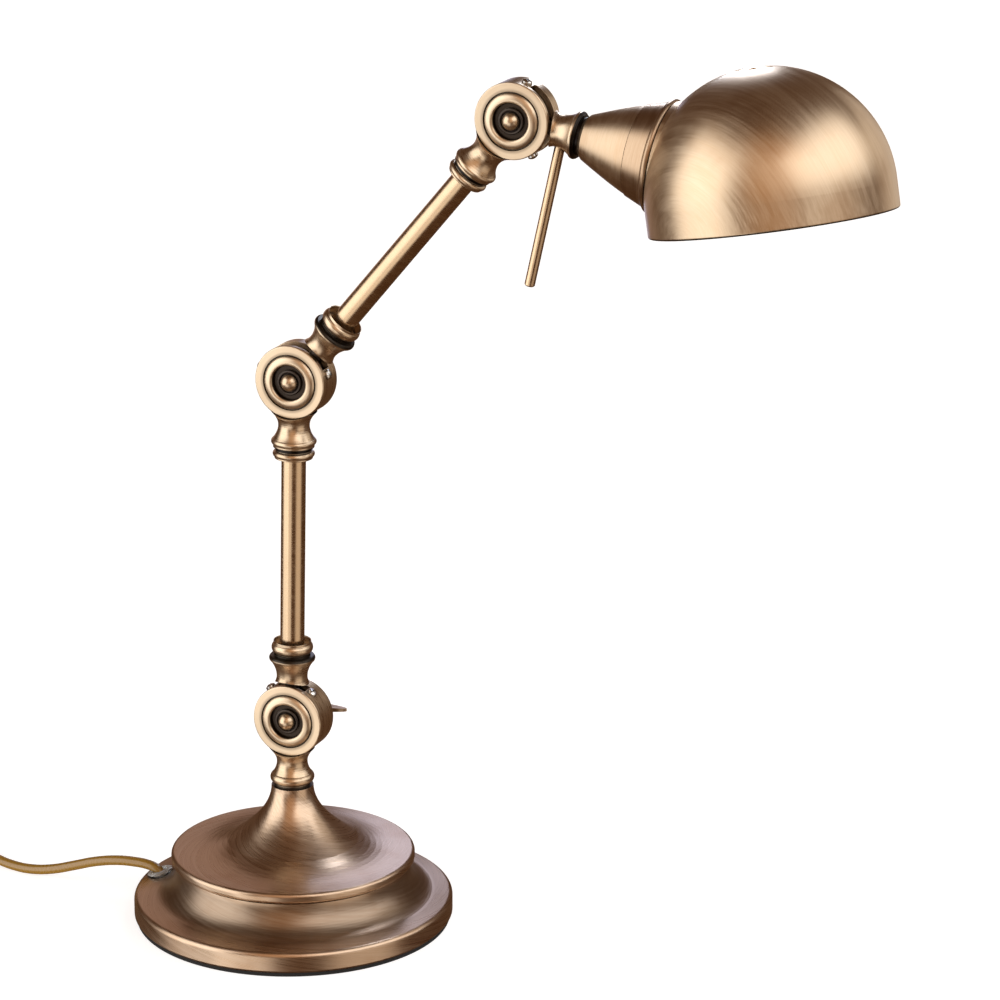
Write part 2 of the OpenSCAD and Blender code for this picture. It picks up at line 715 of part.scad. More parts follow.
module base_neck() color(brass) along(k1, -90) fixed_neck(base_bead, neck_end + 0.3)
    translate([0, 0, k1[2] - trumpet_top - 8.2]) cylinder(r = stud_r + touch, h = 20, $fn = fine);

module k1_drum() color(brass) knuckle(k1) drum(slots[0], -90);
module k1_rosette() color(brass) knuckle(k1) rosette();
module k1_cup_washer() color(gunmetal) knuckle(k1) cup_washer();
module k1_bolt() color(brass) knuckle(k1) bolt(key_tail);
module k1_friction_washer() color(dark_patina) knuckle(k1) friction_washer();
module k1_stop_screws() color(steel) knuckle(k1) stop_screws(slots[0]);

// Wing key: boss threaded on the bolt, and a narrow paddle that thins towards its tips
module wing_key() color(copper_brown) knuckle(k1) {
    start = drum_back + clear;
    boss = 4.6;
    boss_l = 8;
    wing_z = start + boss_l + 1;
    wing_w = 3.2;
    top = 1.2;
    root = -1.7;
    tip = -0.3;
    difference() {
        union() {
            translate([0, 0, -start - boss_l]) cylinder(r = boss, h = boss_l, $fn = fine);
            intersection() {
                translate([0, top, -wing_z]) rotate([90, 0, 0])
                    linear_extrude(2 * wing_w) polygon(arc(0, 0, wing_half, wing_w, 0, 350, 35));
                translate([0, 0, -wing_z - wing_w - 1]) linear_extrude(2 * wing_w + 2)
                    polygon([[-wing_half, tip], [-boss, root], [boss, root], [wing_half, tip],
                        [wing_half, top - 0.4], [wing_half - 0.6, top], [0.6 - wing_half, top],
                        [-wing_half, top - 0.4]]);
            }
        }
        translate([0, 0, -key_tail - 0.3]) cylinder(r = bolt_r + run, h = key_tail, $fn = fine);
    }
}

// Arms

// Two collars, one at each end of an arm
module arm_collars(p, dir, len, lift) {
    along(p, dir, lift) collar(collar_l[0]);
    along(p, dir, len) rotate([180, 0, 0]) collar(collar_l[1]);
}

module arm_tube(p, dir, len, lift) {
    along(p, dir, lift) translate([0, 0, socket_t + touch]) difference() {
        cylinder(r = tube_r, h = len - lift - 2 * (socket_t + touch));
        translate([0, 0, -1]) cylinder(r = tube_r - tube_wall, h = len, $fn = fine);
    }
}

// Cable that lies along the bore from one knuckle to the next
module arm_cable(p, dir, len, lift) {
    along(p, dir, lift) translate([0, 0, stem_end])
        cylinder(r = cable_r, h = len - lift - stem_end - cavity_r - 4, $fn = fine);
}

module k1_hub() color(gunmetal) knuckle(k1) hub(lower_angle, window(slots[0], -90), neck_lift[0]);
module lower_foot_neck() color(brass) along(k1, lower_angle, neck_lift[0])
    turning_neck(foot_bead, neck_end) tube_socket();
module lower_collars() color(brass) arm_collars(k1, lower_angle, lower_len, neck_lift[0]);
module lower_tube() color(copper_brown) arm_tube(k1, lower_angle, lower_len, neck_lift[0]);
module lower_cable() color(cord_gold) arm_cable(k1, lower_angle, lower_len, neck_lift[0]);
module lower_top_neck() color(brass) along(k2, lower_angle + 180)
    fixed_neck(top_bead, neck_end) tube_socket();

module k2_drum() color(brass) knuckle(k2) drum(slots[1], lower_angle + 180);
module k2_rosette() color(brass) knuckle(k2) rosette();
module k2_cup_washer() color(gunmetal) knuckle(k2) cup_washer();
module k2_bolt() color(brass) knuckle(k2) bolt(bolt_tail);
module k2_friction_washer() color(dark_patina) knuckle(k2) friction_washer();
module k2_stop_screws() color(steel) knuckle(k2) stop_screws(slots[1]);
module k2_back_nut() color(brass) knuckle(k2) back_nut(bolt_tail);

module k2_hub() color(gunmetal) knuckle(k2)
    hub(upper_angle, window(slots[1], lower_angle + 180), neck_lift[1]);
module upper_foot_neck() color(brass) along(k2, upper_angle, neck_lift[1])
    turning_neck(foot_bead, neck_end) tube_socket();
module upper_collars() color(brass) arm_collars(k2, upper_angle, upper_len, neck_lift[1]);
module upper_tube() color(copper_brown) arm_tube(k2, upper_angle, upper_len, neck_lift[1]);
module upper_cable() color(cord_gold) arm_cable(k2, upper_angle, upper_len, neck_lift[1]);
module upper_top_neck() color(brass) along(k3, upper_angle + 180)
    fixed_neck(top_bead, neck_end) tube_socket();

module k3_drum() color(brass) knuckle(k3) drum(slots[2], upper_angle + 180);
module k3_rosette() color(brass) knuckle(k3) rosette();
module k3_cup_washer() color(gunmetal) knuckle(k3) cup_washer();
module k3_bolt() color(brass) knuckle(k3) bolt(bolt_tail);
module k3_friction_washer() color(dark_patina) knuckle(k3) friction_washer();
module k3_stop_screws() color(steel) knuckle(k3) stop_screws(slots[2]);
module k3_back_nut() color(brass) knuckle(k3) back_nut(bolt_tail);

// Head

module k3_hub() color(gunmetal) knuckle(k3)
    hub(head_angle, window(slots[2], upper_angle + 180), neck_lift[2]);

// Head neck: turned neck, handle hole and the threaded spigot for the lampholder
module head_neck() color(brass) along(k3, head_angle) difference() {
    union() {
        turning_neck(head_bead, cup_t - touch) rod_place()
            cylinder(r = rod_d / 2 + touch, h = 20, $fn = fine);
        translate([0, 0, cup_t - 2]) cylinder(r = stud_r - touch, h = 10, $fn = fine);
    }
    translate([0, 0, cup_t - 3]) cylinder(r = stem_bore_r, h = 20, $fn = fine);
}

// Where the handle rod starts, Z down the rod
module rod_place() {
    translate([0, 0, rod_t]) rotate([0, 90 + rod_lean, 0]) translate([0, 0, rod_start]) children();
}

module handle_rod() color(copper_brown) along(k3, head_angle) rod_place() {
    l = rod_l - rod_start;
    chamfer = 0.6;
    cylinder(r = rod_d / 2, h = l - chamfer, $fn = fine);
    translate([0, 0, l - chamfer])
        cylinder(r1 = rod_d / 2, r2 = rod_d / 2 - chamfer, h = chamfer, $fn = fine);
}

function cup_r(t) = let (v = (t - cup_t) / cup_l)
    cup_back_r + (cup_front_r - cup_back_r) * (1 - pow(max(1 - v, 0), cup_bulge));

// Spun socket cup with the lip that the gallery turns on
module socket_cup() color(copper_brown) along(k3, head_angle) {
    n = 14;
    edge = 1;
    lip_end = gallery_t + 5;
    rotate_extrude() polygon(concat(
        [[stud_r + touch, cup_t], [cup_back_r - edge, cup_t]],
        [for (i = [1:n]) let (t = cup_t + cup_l * i / n) [cup_r(t), t]],
        [[lip_r, cup_front], [lip_r, lip_end], [lip_r - head_sheet, lip_end],
         [lip_r - head_sheet, cup_front]],
        [for (i = [n - 1:-1:1]) let (t = cup_t + cup_l * i / n) [cup_r(t) - head_sheet, t]],
        [[cup_back_r - edge - 0.4, cup_t + head_sheet], [stud_r + touch, cup_t + head_sheet]]));
}

// Gallery ring: flared sleeve, bead and the flange that the shade seats on
module gallery_ring() color(brass) along(k3, head_angle) {
    bead = 1.6;
    waist = gallery_bead_r - bead - 0.4;
    neck_t = seat_t - 2 * bead - 0.6;
    back_in = gallery_back_r - head_sheet;
    rotate_extrude() polygon(concat(
        [[gallery_back_r, gallery_t], [waist, neck_t]],
        arc(gallery_bead_r - bead, seat_t - bead - 0.1, bead, bead, -81, 75, 10),
        [[gallery_bead_r - bead, seat_t], [holder_r + clear, seat_t],
         [holder_r + clear, seat_t - head_sheet],
         [waist - head_sheet, seat_t - head_sheet], [waist - head_sheet, neck_t],
         [back_in, gallery_t + 6], [back_in, gallery_t]]));
}

// Threaded-skirt lampholder: back cap, flange behind the gallery, mouth for the bulb
module lampholder() color(porcelain) along(k3, head_angle) {
    flange_r = holder_r + 3.5;
    flange_t = 2.2;
    mouth_r = 11.8;
    shell_r = cap_r + 0.75;
    rotate_extrude() polygon([
        [stud_r, holder_back], [8, holder_back], [10, holder_back + 4], [12, holder_back + 8],
        [13, holder_back + 12], [holder_r, holder_back + 15],
        [holder_r, seat_t - head_sheet - 0.1 - flange_t], [flange_r, seat_t - head_sheet - 0.1 - flange_t],
        [flange_r, seat_t - head_sheet - 0.1], [holder_r, seat_t - head_sheet - 0.1],
        [holder_r, holder_front], [mouth_r, holder_front], [mouth_r, holder_front - 6],
        [shell_r + touch, holder_front - 8], [shell_r + touch, cap_t + 2], [3, cap_t + 2], [3, cap_t - 3],
        [stud_r, cap_t - 3]]);
}

// Screw shell and centre contact of the lampholder
module lampholder_contacts() color(brass) along(k3, head_angle) {
    shell_r = cap_r + 0.75;
    translate([0, 0, cap_t + 2]) difference() {
        cylinder(r = shell_r, h = cap_l - 4, $fn = fine);
        translate([0, 0, -1]) cylinder(r = cap_r + touch, h = cap_l, $fn = fine);
    }
    translate([0, 0, cap_t - 3]) cylinder(r = 2.6, h = 3 - touch, $fn = fine);
}

module bulb_cap() color(steel) along(k3, head_angle) {
    rotate_extrude() polygon([
        [0, cap_t], [2.4, cap_t], [2.4, cap_t + 2.2], [4.6, cap_t + 4], [cap_r, cap_t + 6],
        [cap_r, cap_t + cap_l], [0, cap_t + cap_l]]);
}

// Outline of the opal globe and the neck that runs into its cap, moved in by off
function globe(off) = let (join = 58, join_t = bulb_t - bulb_r * cos(join), join_r = bulb_r * sin(join),
        neck_t = cap_t + cap_l + touch)
    concat(
        [for (i = [0:8]) let (u = i / 8) [cap_r - 0.4 + (join_r - cap_r + 0.4) * pow(u, 1.5) - off,
            neck_t + (join_t - neck_t) * u]],
        arc(0, bulb_t, bulb_r - off, bulb_r - off, join + 4 - 90, 90, 20));

module bulb_glass() color(opal) along(k3, head_angle)
    rotate_extrude() polygon(concat(globe(0), reversed(globe(glass_t))));

// Ring that screws on the lampholder and holds the shade to the gallery
module shade_clamp_ring() color(steel) along(k3, head_angle) translate([0, 0, ring_seat + 0.1])
difference() {
    union() {
        cylinder(r = holder_r + 6, h = 1.6);
        cylinder(r = holder_r + 2.4, h = 4.4);
    }
    translate([0, 0, -1]) cylinder(r = holder_r + touch, h = 8);
}

// Shade

// Frame that turns with the shade about the lampholder axis
module shade_axis() {
    along(k3, head_angle) rotate([0, 0, shade_roll]) children();
}

// Frame at the dome's centre with Z through its crown
module dome_frame() {
    shade_axis() translate([shade_drop, 0, dome_t]) rotate([0, -shade_tilt, 0]) children();
}

// Solid dome and skirt of radius r, down to depth under the centre
module dome_solid(r, depth) {
    intersection() {
        sphere(r = r);
        translate([-r - 1, -r - 1, 0]) cube([2 * r + 2, 2 * r + 2, r + 1]);
    }
    translate([0, 0, -depth]) cylinder(r = r, h = depth);
}

module shade() color(copper_brown) {
    boss_l = 16;
    difference() {
        union() {
            dome_frame() dome_solid(shade_r, skirt_h - hem_r);
            shade_axis() translate([0, 0, seat_t + touch]) cylinder(r = boss_seat_r, h = boss_l);
        }
        difference() {
            union() {
                dome_frame() dome_solid(shade_r - head_sheet, skirt_h + 5);
                shade_axis() translate([0, 0, seat_t + head_sheet])
                    cylinder(r = boss_seat_r - head_sheet, h = boss_l);
            }
            shade_axis() translate([0, 0, seat_t - boss_l]) cylinder(r = shade_r, h = boss_l + head_sheet);
        }
        shade_axis() translate([0, 0, seat_t - boss_l]) cylinder(r = shade_r, h = boss_l + touch);
        shade_axis() translate([0, 0, seat_t - 1]) cylinder(r = holder_r + clear, h = boss_l, $fn = fine);
        dome_frame() for (i = [0:vent_n - 1]) rotate([0, 0, vent_phase + 360 * i / vent_n])
            translate([vent_pcd / 2, 0, shade_r - 8]) cylinder(r = vent_d / 2, h = 10, $fn = fine);
    }
    dome_frame() rotate_extrude() translate([shade_r - hem_r, hem_r - skirt_h]) circle(r = hem_r, $fn = 24);
}

// Cord

module power_cord() color(cord_gold) {
    tube_along(smooth(lead_route, 2), cord_r, [0, 0, 1]);
    tube_along(smooth(link_route, 2), cord_r, [0, 0, 1]);
    tube_along(smooth(tail_route, 2), cord_r, [0, 0, 1]);
}

module cord_coil() color(cord_gold) translate(coil_centre) difference() {
    cylinder(r = coil_mean_r + coil_half_w, h = coil_h);
    translate([0, 0, -1]) cylinder(r = coil_mean_r - coil_half_w, h = coil_h + 2);
}

// Where the switch's rocker pivots
module rocker_pivot() {
    translate([switch_x - switch_l / 2, 0, switch_h - rocker_depth]) children();
}

// In-line switch on the cord, with the rocker's well and its two pin holes
module switch_case() color(black) difference() {
    end = 5;
    well_w = rocker_w + 2 * clear;
    well_floor = rocker_under + 1;
    translate([switch_x - switch_l / 2, 0, 0]) hull()
        for (x = [-1, 1], y = [-1, 1]) translate([x * (switch_l / 2 - end), y * (switch_w / 2 - end), 0]) {
            translate([0, 0, 2]) cylinder(r = end, h = switch_h - 5, $fn = 24);
            cylinder(r = end - 1.5, h = switch_h, $fn = 24);
        }
    rocker_pivot() {
        translate([-rocker_l / 2 - 0.7, -well_w / 2, -well_floor]) cube([rocker_l + 1.4, well_w, 20]);
        rotate([90, 0, 0])
            cylinder(r = rocker_pin_r + run, h = well_w + 2 * rocker_pin_l, center = true, $fn = fine);
    }
}

// Rocker, a shallow V on top, tipped to its off side, with a pin at each end of its axis
module switch_rocker() color(black) rocker_pivot() {
    half = rocker_l / 2;
    top = rocker_depth + 1.2;
    shoulder = rocker_under - 0.8;
    rotate([90, rocker_tip, 0]) linear_extrude(rocker_w, center = true) polygon([
        [-half, -1], [1 - half, -shoulder], [0, -rocker_under], [half - 1, -shoulder], [half, -1],
        [half, top], [0, top - 1.4], [-half, top]]);
    rotate([90, 0, 0]) cylinder(r = rocker_pin_r, h = rocker_w + 2 * rocker_pin_l, center = true, $fn = fine);
}

// Flat two-pin plug
module plug_body() color(black) translate([plug_x, 0, plug_z]) {
    half_h = plug_h / 2;
    nose = 7;
    hull() {
        translate([-plug_l + nose / 2, 0, 0]) cube([nose, plug_w, plug_h - 1], center = true);
        translate([-plug_l / 2, 0, 0]) cube([plug_l / 3, plug_w * 0.72, plug_h], center = true);
        translate([-5, 0, 0]) rotate([0, 90, 0]) cylinder(r = 4.4, h = 5, $fn = 24);
    }
}

module plug_pins() color(steel) for (s = [-1, 1])
    translate([plug_x - plug_l - touch, s * pin_pitch / 2, plug_z]) rotate([0, -90, 0]) {
        cylinder(r = 1.9, h = 10, $fn = fine);
        cylinder(r = 2, h = pin_l - 1, $fn = fine);
        translate([0, 0, pin_l - 1]) cylinder(r1 = 2, r2 = 1.2, h = 1, $fn = fine);
    }

base_lower_shell();
base_upper_shell();
base_weight();
base_plate();
base_pad();
base_stud();
base_fasteners();
cord_grommet();
base_cable();
base_neck();
k1_drum();
k1_rosette();
k1_cup_washer();
k1_bolt();
k1_friction_washer();
k1_stop_screws();
wing_key();
k1_hub();
lower_foot_neck();
lower_collars();
lower_tube();
lower_cable();
lower_top_neck();
k2_drum();
k2_rosette();
k2_cup_washer();
k2_bolt();
k2_friction_washer();
k2_stop_screws();
k2_back_nut();
k2_hub();
upper_foot_neck();
upper_collars();
upper_tube();
upper_cable();
upper_top_neck();
k3_drum();
k3_rosette();
k3_cup_washer();
k3_bolt();
k3_friction_washer();
k3_stop_screws();
k3_back_nut();
k3_hub();
head_neck();
handle_rod();
socket_cup();
lampholder();
lampholder_contacts();
bulb_cap();
bulb_glass();
shade_clamp_ring();
gallery_ring();
shade();
power_cord();
cord_coil();
switch_case();
switch_rocker();
plug_body();
plug_pins();
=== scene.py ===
import bpy
import json
import math
from mathutils import Matrix, Vector


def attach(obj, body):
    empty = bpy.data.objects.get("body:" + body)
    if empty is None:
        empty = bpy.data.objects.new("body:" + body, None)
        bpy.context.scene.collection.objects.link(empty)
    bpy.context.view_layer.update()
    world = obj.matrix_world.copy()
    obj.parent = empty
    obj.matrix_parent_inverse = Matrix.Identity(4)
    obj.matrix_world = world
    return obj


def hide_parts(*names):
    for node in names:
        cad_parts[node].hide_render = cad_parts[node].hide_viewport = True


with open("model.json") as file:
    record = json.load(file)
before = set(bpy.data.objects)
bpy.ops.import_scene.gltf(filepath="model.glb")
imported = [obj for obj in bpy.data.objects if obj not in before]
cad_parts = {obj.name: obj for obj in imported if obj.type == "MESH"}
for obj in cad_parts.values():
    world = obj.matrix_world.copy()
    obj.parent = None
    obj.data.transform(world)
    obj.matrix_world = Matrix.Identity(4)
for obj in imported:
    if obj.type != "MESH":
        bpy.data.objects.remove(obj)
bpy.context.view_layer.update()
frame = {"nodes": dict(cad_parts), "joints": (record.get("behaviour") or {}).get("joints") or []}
nodes = frame["nodes"]
joints = {joint["name"]: joint for joint in frame["joints"]}
scene = bpy.context.scene
mm = 0.001


def polar(turn, lift=0.0):
    # a direction: turn goes round Z from +X, lift is above the horizon
    turn, lift = math.radians(turn), math.radians(lift)
    return Vector((math.cos(turn) * math.cos(lift), math.sin(turn) * math.cos(lift), math.sin(lift)))


lowerKnuckle = Vector(joints["lower_knuckle"]["pos_m"])
middleKnuckle = Vector(joints["middle_knuckle"]["pos_m"])
headKnuckle = Vector(joints["head_knuckle"]["pos_m"])
lowerAim = (middleKnuckle - lowerKnuckle).normalized()
upperAim = (headKnuckle - middleKnuckle).normalized()
headAim = Vector(joints["shade_swivel"]["axis"]).normalized()

# the dome is set on the lampholder's axis as in the frame; roll and tilt are in degrees
domeSetup = {"roll": -5.5, "drop": 4 * mm, "reach": 126.6 * mm, "tilt": 109.9}


def domePlace():
    lean = Matrix.Rotation(math.atan2(headAim.x, headAim.z), 4, "Y")
    roll = Matrix.Rotation(math.radians(domeSetup["roll"]), 4, "Z")
    shift = Matrix.Translation((domeSetup["drop"], 0, domeSetup["reach"]))
    tilt = Matrix.Rotation(math.radians(-domeSetup["tilt"]), 4, "Y")
    return Matrix.Translation(headKnuckle) @ lean @ roll @ shift @ tilt


dome = domePlace()
domeCentre = dome.translation
crownAim = (dome.to_3x3() @ Vector((0, 0, 1))).normalized()


cameraSetup = {"target": (0.1106, 0, 0.2306), "distance": 1.8242, "azimuth": 21.72, "pitch": 16.88,
               "roll": 0.32, "lens": 137.78, "sensor": 36, "clip": (0.05, 50)}


def placeCamera():
    azimuth, pitch, roll = (math.radians(cameraSetup[k]) for k in ("azimuth", "pitch", "roll"))
    right = Vector((math.cos(azimuth), math.sin(azimuth), 0))
    back = Vector((math.sin(azimuth) * math.cos(pitch), -math.cos(azimuth) * math.cos(pitch),
                   math.sin(pitch)))
    up = back.cross(right)
    turnedRight = right * math.cos(roll) + up * math.sin(roll)
    turnedUp = up * math.cos(roll) - right * math.sin(roll)
    place = Matrix((turnedRight, turnedUp, back)).transposed().to_4x4()
    place.translation = Vector(cameraSetup["target"]) + back * cameraSetup["distance"]
    bpy.ops.object.camera_add()
    camera = bpy.context.object
    camera.name = "camera"
    camera.matrix_world = place
    camera.data.lens = cameraSetup["lens"]
    camera.data.sensor_width = cameraSetup["sensor"]
    camera.data.clip_start, camera.data.clip_end = cameraSetup["clip"]
    scene.camera = camera


placeCamera()
print("camera placed")


# coil sizes and routes are in mm; climb is where the lower layer starts to rise, and for what share of it
cordSetup = {"radius": 2.5 * mm, "length": 1.8, "coilCentre": (-290, 40), "coilTurns": 4, "coilOuter": 40.4,
             "coilInner": 19.9, "layerZ": (2.6, 7.8), "pointsPerTurn": 24, "climb": (0.93, 0.07),
             "curveSteps": 4, "roundSteps": 6}
leadRoute = [
    (-69.8, -9.3, 14.2), (-72.4, -9.1, 16.15), (-77.5, -8.8, 17.4), (-85, -8.6, 17.6), (-95, -8.4, 16.8),
    (-108, -8, 13.9), (-120, -7.6, 9.8), (-133, -7, 5.5), (-146, -6, 3), (-158, -4, 2.5), (-168, -2, 3.6),
    (-176, -0.6, 6), (-183, 0, 7.5)]
linkRoute = [
    (-245, 0, 7.5), (-252, 0, 6.6), (-261, 0, 4.2), (-271, 0, 2.8), (-281, -0.2, 2.6)]
tailRoute = [
    (-301, 0.4, 7.4), (-313, 1, 5.4), (-325, 1, 3.4), (-337, 0.6, 2.6), (-347, 0.2, 3.4), (-357, 0, 5.6),
    (-366, 0, 6.9)]


def coilPoints():
    # lower layer winds in, upper layer winds out, both clockwise seen from above
    s = cordSetup
    (cx, cy), count = s["coilCentre"], s["coilTurns"] * s["pointsPerTurn"]
    (lowZ, highZ), (climbStart, climbShare) = s["layerZ"], s["climb"]
    layers = [(s["coilOuter"], s["coilInner"]), (s["coilInner"], s["coilOuter"])]
    points = []
    for layer, (start, end) in enumerate(layers):
        for i in range(count + (layer == 1)):
            share = i / count
            radius = start + (end - start) * share
            angle = math.radians(-90 - 360 * s["coilTurns"] * share)
            climb = min(1.0, max(0.0, (share - climbStart) / climbShare)) if layer == 0 else 1.0
            z = lowZ + (highZ - lowZ) * climb
            points.append((cx + radius * math.cos(angle), cy + radius * math.sin(angle), z))
    return points


def makeCord():
    points = leadRoute + linkRoute + coilPoints() + tailRoute
    curve = bpy.data.curves.new("mains_cord", "CURVE")
    curve.dimensions = "3D"
    curve.resolution_u = cordSetup["curveSteps"]
    curve.bevel_depth = cordSetup["radius"]
    curve.bevel_resolution = cordSetup["roundSteps"]
    curve.use_fill_caps = True
    spline = curve.splines.new("BEZIER")
    spline.bezier_points.add(len(points) - 1)
    for knot, point in zip(spline.bezier_points, points):
        knot.co = Vector(point) * mm
        knot.handle_left_type = "AUTO"
        knot.handle_right_type = "AUTO"
    cord = bpy.data.objects.new("mains_cord", curve)
    scene.collection.objects.link(cord)
    bpy.ops.object.select_all(action="DESELECT")
    cord.select_set(True)
    bpy.context.view_layer.objects.active = cord
    bpy.ops.object.convert(target="MESH")
    bpy.ops.object.shade_smooth()
    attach(cord, "base")
    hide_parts("power_cord", "cord_coil")
    return cord


cord = makeCord()
print("cord laid")


def emptyTree(owner):
    owner.use_nodes = True
    owner.node_tree.nodes.clear()
    return owner.node_tree


def add(tree, kind, **settings):
    node = tree.nodes.new("ShaderNode" + kind)
    for key, value in settings.items():
        setattr(node, key, value)
    return node


def feed(tree, socket, value):
    if isinstance(value, bpy.types.NodeSocket):
        tree.links.new(value, socket)
    else:
        socket.default_value = value


def show(tree, kind, surface):
    # kind is Material or World
    feed(tree, add(tree, "Output" + kind).inputs["Surface"], surface)


def newMaterial(name):
    material = bpy.data.materials.new(name)
    tree = emptyTree(material)
    shader = add(tree, "BsdfPrincipled")
    show(tree, "Material", shader.outputs["BSDF"])
    return material, tree, shader


def calc(tree, operation, a, b=0.0):
    node = add(tree, "Math", operation=operation)
    for socket, value in zip(node.inputs, (a, b)):
        feed(tree, socket, value)
    return node.outputs[0]


def vector(tree, operation, a, b=(0, 0, 0)):
    node = add(tree, "VectorMath", operation=operation)
    feed(tree, node.inputs[0], a)
    feed(tree, node.inputs["Scale"] if operation == "SCALE" else node.inputs[1], b)
    return node.outputs["Value" if operation in ("LENGTH", "DOT_PRODUCT") else "Vector"]


def ramp(tree, value, low, high, start=0.0, end=1.0, smooth=True):
    node = add(tree, "MapRange", interpolation_type="SMOOTHSTEP" if smooth else "LINEAR")
    for socket, number in zip(node.inputs, (value, low, high, start, end)):
        feed(tree, socket, number)
    return node.outputs[0]


def band(tree, value, start, end, soft):
    # one between start and end, nothing outside
    rise = ramp(tree, value, start - soft, start + soft)
    return calc(tree, "MULTIPLY", rise, ramp(tree, value, end - soft, end + soft, 1.0, 0.0))


def blendColours(tree, amount, a, b):
    node = add(tree, "Mix", data_type="RGBA")
    feed(tree, node.inputs["Factor"], amount)
    sockets = [socket for socket in node.inputs if socket.type == "RGBA"]
    feed(tree, sockets[0], a if isinstance(a, bpy.types.NodeSocket) else (*a, 1))
    feed(tree, sockets[1], b if isinstance(b, bpy.types.NodeSocket) else (*b, 1))
    return [socket for socket in node.outputs if socket.type == "RGBA"][0]


def noise(tree, place, scale, detail, roughness=0.5, w=None):
    node = add(tree, "TexNoise", noise_dimensions="4D" if w is not None else "3D")
    feed(tree, node.inputs["Vector"], place)
    feed(tree, node.inputs["Scale"], scale)
    feed(tree, node.inputs["Detail"], detail)
    feed(tree, node.inputs["Roughness"], roughness)
    if w is not None:
        feed(tree, node.inputs["W"], w)
    return node.outputs["Fac"]


def localPlace(tree, centre, aim):
    # object coordinates seen from a lathe whose spindle stands at centre along aim
    coordinates = add(tree, "TexCoord").outputs["Object"]
    mapping = add(tree, "Mapping", vector_type="TEXTURE")
    feed(tree, mapping.inputs["Vector"], coordinates)
    mapping.inputs["Location"].default_value = centre
    mapping.inputs["Rotation"].default_value = aim.to_track_quat("Z", "Y").to_euler()
    return mapping.outputs["Vector"]


# what all metal finishes share: noises as (scale, detail, roughness), spans of a noise that count
finish = {"fine": (1.0, 4.0, 0.65), "broad": (0.2, 2.0, 0.5), "fineShare": 0.65, "broadShare": 0.35,
          "streakSpan": (0.38, 0.62), "cloudNoise": (3.0, 0.55), "cloudSpan": (0.45, 0.72),
          "creviceSpan": (0.35, 0.85), "creviceSamples": 8, "rimSoft": 0.3 * mm,
          "roughSpread": (-0.04, 0.05), "patinaShadeRough": 0.15, "bumpHeight": 0.05 * mm, "edgeSamples": 4}


def brushLines(tree, look, radius, turn, z):
    # a fine and a broad noise, both drawn out along the brush strokes
    pieces = add(tree, "CombineXYZ")
    if "swirl" in look:
        run = calc(tree, "SUBTRACT", radius, z)
        angle = calc(tree, "SUBTRACT", turn, calc(tree, "MULTIPLY", run, look["swirl"]))
        feed(tree, pieces.inputs[0], calc(tree, "MULTIPLY", calc(tree, "COSINE", angle), look["grain"]))
        feed(tree, pieces.inputs[1], calc(tree, "MULTIPLY", calc(tree, "SINE", angle), look["grain"]))
        feed(tree, pieces.inputs[2], calc(tree, "MULTIPLY", run, look["stroke"]))
        depth = 0.0
    else:
        feed(tree, pieces.inputs[0], calc(tree, "MULTIPLY", radius, look["grain"]))
        feed(tree, pieces.inputs[1], calc(tree, "MULTIPLY", calc(tree, "COSINE", turn), look["stroke"]))
        feed(tree, pieces.inputs[2], calc(tree, "MULTIPLY", calc(tree, "SINE", turn), look["stroke"]))
        depth = calc(tree, "MULTIPLY", z, look["grain"])
    return tuple(noise(tree, pieces.outputs[0], *finish[kind], depth) for kind in ("fine", "broad"))


